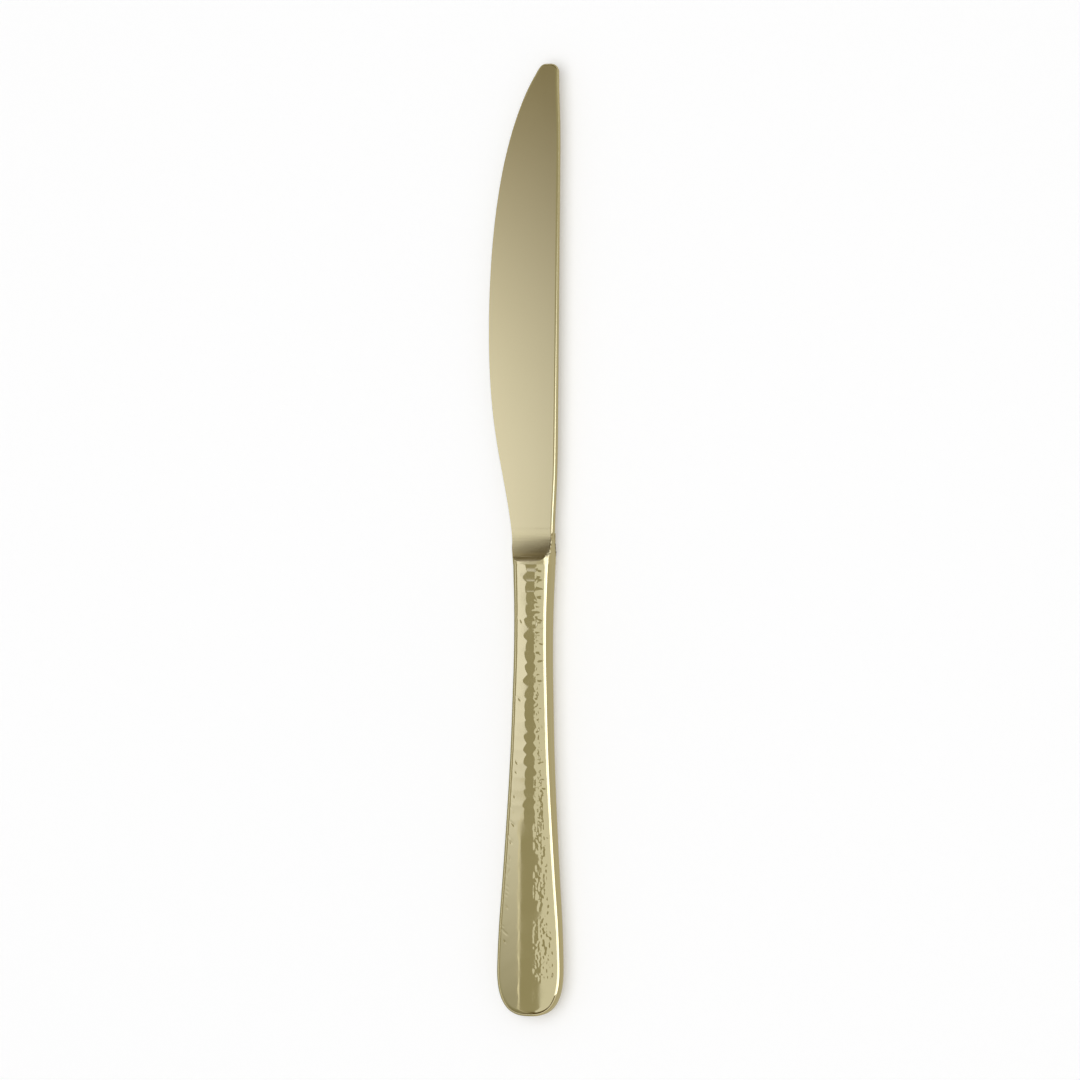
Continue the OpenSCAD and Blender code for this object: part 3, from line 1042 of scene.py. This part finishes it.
    def round_bolster(self, blank: Object, front_y: float) -> None:
        """Round the bolster's long edges and give its faces the crown of the shells.

        Args:
            blank: the blank, in edit mode.
            front_y: where the bolster ends towards the blade.
        """
        form = self.form
        bpy.ops.mesh.select_mode(type="EDGE")
        bpy.ops.mesh.select_all(action="DESELECT")
        edit = bmesh.from_edit_mesh(blank.data)
        for edge in edit.edges:
            a, b = (v.co for v in edge.verts)
            top = abs(abs(a.z - form.mid_z) - form.mouth_t / 2) < TINY and abs(a.z - b.z) < TINY
            outer = len(edge.link_faces) == 2 and edge.calc_face_angle(0) > self.square
            across = abs(a.y - b.y) < TINY and min(abs(a.y - form.mouth_y), abs(a.y - front_y)) < TINY
            edge.select_set(top and outer and not across)
        Bench.show(blank)
        bpy.ops.mesh.bevel(offset=form.shoulder_r, segments=self.bolster_segments)
        edit = bmesh.from_edit_mesh(blank.data)
        for vertex in edit.verts:
            height = vertex.co.z - form.mid_z
            share = (abs(height) - self.core_half) / (form.mouth_t / 2 - self.core_half)
            if share > 0:
                vertex.co.z -= math.copysign(share * form.crown(vertex.co.x - form.axis_x), height)
        bmesh.update_edit_mesh(blank.data)
        Bench.clear()

    def grinder(self, face: Face) -> Object:
        """The block that a flank's grinding takes away: flat below, with a rear edge of the cove's radius.

        Args:
            face: the face whose flank it grinds.

        Returns:
            The block, in its place.
        """
        form = self.form
        taper = (self.tip_t - self.heel_t) / 2 / self.length
        belly_t = self.heel_t + 2 * taper * self.belly_at
        wedge = (belly_t - self.edge_t) / 2 / (self.spine_h + self.belly_depth)
        lowest = self.heel_t / 2 - wedge * (self.spine_h + self.mouth_w)
        rise = form.mouth_t / 2 - lowest
        cove_end = self.cove_land + math.sqrt(self.cove_r**2 - (self.cove_r - rise) ** 2)
        deep, wide, long = 2 * self.cove_r, 4 * self.belly_depth, self.length + self.cove_r
        rear = cove_end - self.cove_r
        block = Bench.block((wide, long, deep), (0, rear + long / 2, deep / 2))
        for edge in Bench.edit(block, "EDGE").edges:
            a, b = (v.co for v in edge.verts)
            edge.select_set(max(a.y, b.y) < rear + TINY and max(abs(a.z), abs(b.z)) < TINY)
        Bench.show(block)
        bpy.ops.mesh.bevel(offset=self.cove_r, segments=self.cove_steps)
        Bench.clear()
        turn = Matrix.Rotation(-math.atan(wedge), 4, "Y") @ Matrix.Rotation(math.asin(taper), 4, "X")
        block.data.transform(Matrix.Translation((self.spine_h, 0, self.heel_t / 2)) @ turn)
        if face is Face.BACK:
            block.data.transform(Matrix.Diagonal((1, 1, -1, 1)))
        block.data.transform(Matrix.Translation((form.axis_x, form.mouth_y, form.mid_z)))
        Bench.outward(block)
        return block

    def tail(self) -> Object:
        """Spigot and tang, which the handle hides.

        Returns:
            The two as one solid.
        """
        form = self.form
        inner_w = 2 * (form.half_width(self.spigot_l) - self.spigot_inset)
        inner_t = 2 * (float(form.half_thickness(self.spigot_l)) - self.spigot_inset)
        middle = (form.axis_x, form.mouth_y - self.spigot_l / 2 + self.overlap / 2, form.mid_z)
        spigot = Bench.block((inner_w, self.spigot_l + self.overlap, inner_t), middle)
        for edge in Bench.edit(spigot, "EDGE").edges:
            a, b = (v.co for v in edge.verts)
            edge.select_set(abs(a.y - b.y) > self.overlap)
        Bench.show(spigot)
        corner_r = form.shoulder_r / 2
        bpy.ops.mesh.bevel(offset=corner_r, segments=self.spigot_segments)
        bpy.ops.mesh.select_mode(type="FACE")
        bpy.ops.mesh.select_all(action="DESELECT")
        edit = bmesh.from_edit_mesh(spigot.data)
        for face in edit.faces:
            face.select_set(face.normal.y < -FACING)
        Bench.show(spigot)
        bpy.ops.mesh.inset(thickness=corner_r, depth=0)
        bpy.ops.transform.resize(value=(self.tang_share, 1, 1), center_override=spigot.location)
        bpy.ops.mesh.extrude_region_move(TRANSFORM_OT_translate={"value": (0, -self.tang_l, 0)})
        Bench.clear()
        Bench.outward(spigot)
        return spigot

    def round_edges(self, blade: Object) -> None:
        """Round the long edges of the flanks, and the cutting edge less than the spine and the tip.

        Args:
            blade: the ground blade.
        """
        edit = Bench.edit(blade, "EDGE")
        layer = edit.edges.layers.float.new("bevel_weight_edge")
        for edge in edit.edges:
            middle = (edge.verts[0].co + edge.verts[1].co) / 2
            along = middle.y - self.form.mouth_y
            if along < self.round_from or edge.calc_face_angle(0) < self.sharp:
                continue
            edge[layer] = 1.0
            if middle.x < self.form.axis_x + self.spine_h - self.tip_w:
                behind = min(1.0, max(0.0, self.length - self.tip_nose_l - along) / self.nose_lead)
                edge[layer] = 1 - behind * (1 - self.edge_round / self.spine_round)
        bmesh.update_edit_mesh(blade.data)
        Bench.clear()
        bevel = blade.modifiers.new("round", "BEVEL")
        bevel.limit_method = "WEIGHT"
        bevel.width = self.spine_round
        bevel.segments = self.round_segments
        bevel.use_clamp_overlap = False
        bevel.miter_outer = "MITER_ARC"
        Bench.apply(blade)

    def build(self, material: Material) -> None:
        """Make the blade and dress it.

        Args:
            material: its finish.
        """
        blade = self.blank()
        for face in Face:
            Bench.cut(blade, self.grinder(face))
        Bench.cut(blade, self.tail(), "UNION")
        self.round_edges(blade)
        Bench.pick(blade)
        bpy.ops.object.shade_smooth_by_angle(angle=self.crease)
        weighted = blade.modifiers.new("even", "WEIGHTED_NORMAL")
        weighted.keep_sharp = True
        Bench.apply(blade)
        Bench.finish(blade, self.name, self.node, Slot.BLADE, material)


@dataclass
class SeamWeld:
    """Weld between the rims of the two shells, ground flush with the smooth side."""

    form: HandleForm
    name: str = "handle_seam_weld"
    node: str = "seam_weld"
    wall: float = 0.9 * MM
    steps: int = 300

    def build(self, material: Material) -> None:
        """Make the weld and dress it.

        Args:
            material: its finish.
        """
        form = self.form
        half = resample(form.half_outline(), np.linspace(0, 1, self.steps))
        inward = inward_from(half)
        rings = []
        for inset in (0.0, self.wall):
            right = half + inward * inset
            rings.append(np.vstack([right, right[-2::-1] * np.array([-1, 1])]))
        flat = np.vstack(rings)
        z = np.full(len(flat), form.mid_z - form.weld_t / 2)
        points = np.column_stack([flat[:, 0] + form.axis_x, form.mouth_y - flat[:, 1], z])
        weld = Bench.from_grid(self.name, points, quads(np.arange(len(flat)).reshape(2, -1)))
        Bench.edit(weld)
        bpy.ops.mesh.select_all(action="SELECT")
        bpy.ops.mesh.extrude_region_move(TRANSFORM_OT_translate={"value": (0, 0, form.weld_t)})
        Bench.clear()
        Bench.outward(weld)
        Bench.pick(weld)
        bpy.ops.object.shade_smooth_by_angle(angle=SMOOTH_BELOW)
        Bench.finish(weld, self.name, self.node, Slot.HANDLE, material)


def fade(tree: NodeTree, along: NodeSocket | Node, span: tuple, colours: tuple) -> NodeSocket:
    """Let a colour pass softly into another.

    Args:
        tree: the node tree.
        along: the place or direction that the colour follows.
        span: where the change starts, and where it ends.
        colours: the colours there, as hex digits.

    Returns:
        The output that carries the colour.
    """
    start, end = span
    soft = {"interpolation_type": "SMOOTHSTEP"}
    share = add_node(tree, "ShaderNodeMapRange", soft, Value=along, From_Min=start, From_Max=end)
    ends = {6: linear(colours[0]), 7: linear(colours[1])}
    return add_node(tree, "ShaderNodeMix", {"data_type": "RGBA", 0: share, **ends}).outputs[2]


def hang(name: str, size: tuple, place: tuple, turn: tuple, material: Material) -> None:
    """Put up a flat panel that shows in reflections alone.

    Args:
        name: its name.
        size: its width and length.
        place: its middle.
        turn: its turn about the three axes.
        material: its light.
    """
    Bench.clear()
    bpy.ops.mesh.primitive_plane_add(size=1, location=place)
    panel = bpy.context.object
    panel.name = name
    panel.rotation_euler = turn
    panel.scale = (*size, 1)
    bpy.ops.object.transform_apply(location=False, rotation=False, scale=True)
    panel.visible_camera = panel.visible_diffuse = panel.visible_shadow = False
    panel.data.materials.append(material)


@dataclass(frozen=True)
class Softbox:
    """A glowing panel that faces the knife's axis, from an angle and a distance, along a span of the knife.

    Its colour passes into another along its fade span, and its level falls across it by the slope. A
    see-through one adds its light to what is behind it.
    """

    name: str
    angle_deg: float
    spread_deg: float
    distance: float
    span: tuple
    colours: tuple
    fade_span: tuple = (0.0, 1.0)
    level: float = 1.0
    slope: float = 0.0
    see_through: bool = False

    def build(self) -> None:
        """Add the panel and its light."""
        lean = math.radians(self.angle_deg)
        width = 2 * self.distance * math.tan(math.radians(self.spread_deg) / 2)
        middle = sum(self.span) / 2
        place = (math.sin(lean) * self.distance, middle, math.cos(lean) * self.distance)
        size = (width, abs(self.span[1] - self.span[0]))
        hang(self.name, size, place, (0, lean, 0), self.light(width, middle))

    def light(self, width: float, middle: float) -> Material:
        """Build the panel's glow.

        Args:
            width: the panel's width.
            middle: the place of its middle along the knife.

        Returns:
            The material.
        """
        material, tree = new_material(self.name + "_light")
        place = add_node(tree, "ShaderNodeTexCoord").outputs["Object"]
        split = add_node(tree, "ShaderNodeSeparateXYZ", Vector=place)
        colour = fade(tree, split.outputs["Y"], tuple(y - middle for y in self.fade_span), self.colours)
        level = add_node(
            tree, "ShaderNodeMapRange", Value=split.outputs["X"], From_Min=-width / 2, From_Max=width / 2,
            To_Min=self.level * (1 + self.slope), To_Max=self.level * (1 - self.slope),
        )
        light = add_node(tree, "ShaderNodeEmission", Color=colour, Strength=level)
        if self.see_through:
            clear = add_node(tree, "ShaderNodeBsdfTransparent")
            light = add_node(tree, "ShaderNodeAddShader", {0: light, 1: clear})
        add_node(tree, "ShaderNodeOutputMaterial", Surface=light)
        return material


@dataclass
class Studio:
    """Pale table, soft panels, dim warm surroundings and the camera at the photograph's angle."""

    form: HandleForm
    tilt_deg: float = 22.0
    roll_deg: float = 0.571
    distance: float = 1.2
    px_per_m: float = 4051.0
    aim_offset: float = 1.33 * MM
    sensor: float = 36.0
    floor_size: float = 12.0
    floor_gap: float = 0.05 * MM
    floor_colour: str = "EDEDED"
    floor_glow: float = 0.2
    # Glowing warm grey cards by the knife: painted shade of the table, seen in reflections alone
    painted_shade_card_colours: tuple = (("painted_shade_card_edge_side", -1, "A2A089"), ("painted_shade_card_spine_side", 1, "BAB5A0"))
    card_size: float = 0.8
    flag_colours: tuple = ("463A1A", "F3F3F1")
    flag_y: float = 3.2 * MM
    flag_foot: float = 10 * MM
    flag_size: tuple = (50 * MM, 13 * MM)
    flag_fade: tuple = (0.9 * MM, 5.0 * MM)
    flag_lean: float = -0.2
    lamp_size: float = 1.6
    lamp_height: float = 1.5
    lamp_power: float = 13.0
    sky_level: float = 0.5
    room_colours: tuple = ("9F9B81", "5D5030")
    room_span: tuple = (0.25, 0.75)
    backdrop_rise: float = 0.14
    clip_span: tuple = (0.01, 100)

    def camera(self) -> None:
        """Place the camera above the knife, leaning towards its spine."""
        tilt, roll = math.radians(self.tilt_deg), math.radians(self.roll_deg)
        back = Vector((math.sin(tilt), 0, math.cos(tilt)))
        right = Vector((math.cos(tilt), 0, -math.sin(tilt)))
        up = Vector((0, 1, 0))
        turned_right = right * math.cos(roll) + up * math.sin(roll)
        turned_up = up * math.cos(roll) - right * math.sin(roll)
        target = Vector((self.form.axis_x, 0, self.form.mid_z)) + right * self.aim_offset
        Bench.clear()
        bpy.ops.object.camera_add()
        camera = bpy.context.object
        camera.name = "photo_camera"
        turn = Matrix((turned_right, turned_up, back)).transposed().to_4x4()
        camera.matrix_world = Matrix.Translation(target + back * self.distance) @ turn
        camera.data.sensor_width = self.sensor
        camera.data.lens = self.sensor * self.distance * self.px_per_m / IMAGE_PX
        camera.data.clip_start, camera.data.clip_end = self.clip_span
        bpy.context.scene.camera = camera

    def floor(self) -> None:
        """Lay the pale table, which looks white, also in reflections, and keeps the knife's shadow."""
        Bench.clear()
        bpy.ops.mesh.primitive_plane_add(size=self.floor_size, location=(0, 0, -self.floor_gap))
        floor = bpy.context.object
        floor.name = "table"
        material, tree = new_material("matt_white_table")
        paint = add_node(tree, "ShaderNodeBsdfDiffuse", Color=linear(self.floor_colour))
        path = add_node(tree, "ShaderNodeLightPath")
        seen = path.outputs["Is Camera Ray"]
        for ray in ("Is Glossy Ray", "Is Transmission Ray"):
            seen = add_node(tree, "ShaderNodeMath", {"operation": "MAXIMUM", 0: seen, 1: path.outputs[ray]})
        level = add_node(tree, "ShaderNodeMath", {"operation": "MULTIPLY", 0: seen, 1: self.floor_glow})
        glow = add_node(tree, "ShaderNodeEmission", Color=linear("FFFFFF"), Strength=level)
        both = add_node(tree, "ShaderNodeAddShader", {0: paint, 1: glow})
        add_node(tree, "ShaderNodeOutputMaterial", Surface=both)
        floor.data.materials.append(material)

    def painted_shade_cards(self) -> None:
        """Lay a glowing warm grey card by each side of the knife, to keep its sides from glaring: painted
        table shade in reflections.
        """
        for name, side, colour in self.painted_shade_card_colours:
            material, tree = new_material(name + "_paper")
            # Fixed warm grey glow: painted shade of the table beside the knife, seen only in the metal's
            # reflections
            glow = add_node(tree, "ShaderNodeEmission", Color=linear(colour), Strength=1.0)
            add_node(tree, "ShaderNodeOutputMaterial", Surface=glow)
            place = (side * self.card_size / 2, 0, -self.floor_gap / 2)
            hang(name, (self.card_size, self.card_size), place, (0, 0, 0), material)

    def cove_flag(self) -> None:
        """Stand a small card over the heel, dark below and pale above, that shades the cove alone.

        It shows from its front only, because from behind it would darken the handle.
        """
        high = self.flag_size[1]
        material, tree = new_material("cove_flag_paper")
        place = add_node(tree, "ShaderNodeTexCoord").outputs["Object"]
        x, y, _ = add_node(tree, "ShaderNodeSeparateXYZ", Vector=place).outputs
        sum_up = {"operation": "MULTIPLY_ADD", 0: x, 1: self.flag_lean, 2: y}
        height = add_node(tree, "ShaderNodeMath", sum_up)
        colour = fade(tree, height, tuple(level - high / 2 for level in self.flag_fade), self.flag_colours)
        glow = add_node(tree, "ShaderNodeEmission", Color=colour, Strength=1.0)
        behind = add_node(tree, "ShaderNodeNewGeometry").outputs["Backfacing"]
        clear = add_node(tree, "ShaderNodeBsdfTransparent")
        front_only = add_node(tree, "ShaderNodeMixShader", {0: behind, 1: glow, 2: clear})
        add_node(tree, "ShaderNodeOutputMaterial", Surface=front_only)
        place = (self.form.axis_x, self.flag_y, self.flag_foot + high / 2)
        hang("cove_flag", self.flag_size, place, (math.pi / 2, 0, 0), material)

    def surroundings(self) -> None:
        """Set the sky: plain for matt things, a dim warm room in reflections, and pale round the horizon."""
        world = bpy.data.worlds.new("studio_room")
        bpy.context.scene.world = world
        world.use_nodes = True
        tree = world.node_tree
        tree.nodes.clear()
        way = add_node(tree, "ShaderNodeTexCoord").outputs["Generated"]
        _, y, z = add_node(tree, "ShaderNodeSeparateXYZ", Vector=way).outputs
        along = add_node(tree, "ShaderNodeMath", {"operation": "ABSOLUTE", 0: y})
        room = fade(tree, along, self.room_span, self.room_colours)
        glossy = add_node(tree, "ShaderNodeLightPath").outputs["Is Glossy Ray"]
        plain = (self.sky_level, self.sky_level, self.sky_level, 1.0)
        sky = add_node(tree, "ShaderNodeMix", {"data_type": "RGBA", 0: glossy, 6: plain, 7: room}).outputs[2]
        low = add_node(tree, "ShaderNodeMath", {"operation": "LESS_THAN", 0: z, 1: self.backdrop_rise})
        choice = {"data_type": "RGBA", 0: low, 6: sky, 7: linear("FFFFFF")}
        all_round = add_node(tree, "ShaderNodeMix", choice).outputs[2]
        shine = add_node(tree, "ShaderNodeBackground", Color=all_round, Strength=1.0)
        add_node(tree, "ShaderNodeOutputWorld", Surface=shine)

    def lights(self) -> None:
        """Hang the lamp over the table, and the panels that the metal reflects.

        The keys stand close over the cutting edge, the fills leave a narrow dark gap beside them, and bright
        strips stand low over the spine side. All places are in metres.
        """
        Bench.clear()
        bpy.ops.object.light_add(type="AREA", location=(0, 0, self.lamp_height))
        lamp = bpy.context.object
        lamp.name = "soft_lamp"
        lamp.data.shape = "SQUARE"
        lamp.data.size = self.lamp_size
        lamp.data.energy = self.lamp_power
        lamp.visible_camera = lamp.visible_glossy = False
        pale, cold = ("DCDCD3", "DCDCD3"), ("F0F4FF", "F0F4FF")
        for box in (
            Softbox("blade_key", -37, 46, 0.1, (-0.0065, 0.135), ("F7F7F9", "75683A"), (0.0, 0.168),
                    level=1.13, slope=0.45),
            Softbox("handle_key", -39.35, 31.3, 0.1, (-0.003, -0.25), ("F7F8FA", "8F8C74"), (-0.03, -0.16)),
            Softbox("ridge_line", -24.4, 0.9, 0.09, (-0.25, -0.068), ("D8D4C4", "F0ECDC"), (-0.068, -0.1)),
            Softbox("overhead_fill", 19.3, 73.4, 0.5, (-0.085, -0.01), pale),
            Softbox("butt_fill", 20.7, 70.6, 0.5, (-0.75, -0.085), pale),
            Softbox("handle_strip", 73, 34, 0.5, (-0.35, -0.009), cold, level=1.6, see_through=True),
            Softbox("blade_strip", 67, 46, 0.06, (-0.0065, 0.1), ("F0F4FF", "000000"), (0.01, 0.095),
                    level=1.25, see_through=True),
        ):
            box.build()

    def build(self) -> None:
        """Set up the whole studio."""
        self.camera()
        self.floor()
        self.painted_shade_cards()
        self.cove_flag()
        self.surroundings()
        self.lights()
        bpy.context.scene.view_settings.view_transform = "Standard"


def main() -> None:
    """Build the knife in order, then the studio."""
    logging.basicConfig(level=logging.INFO, format="%(name)s: %(message)s")
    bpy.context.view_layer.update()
    form = HandleForm()
    polished = PolishedGoldSteel().material()
    Blade(form).build(SatinGoldSteel().material())
    HandleShell(form, Face.FRONT, "front_shell", "handle_front_shell", Hammering(seed=11)).build(polished)
    HandleShell(form, Face.BACK, "back_shell", "handle_back_shell", Hammering(seed=29)).build(polished)
    SeamWeld(form).build(polished)
    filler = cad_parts["handle_filler"]
    filler.data.materials.clear()
    filler.data.materials.append(CastCement().material())
    log.info("handle_filler: CAD node, dressed as cast cement")
    Studio(form).build()


if __name__ == "__main__":
    main()
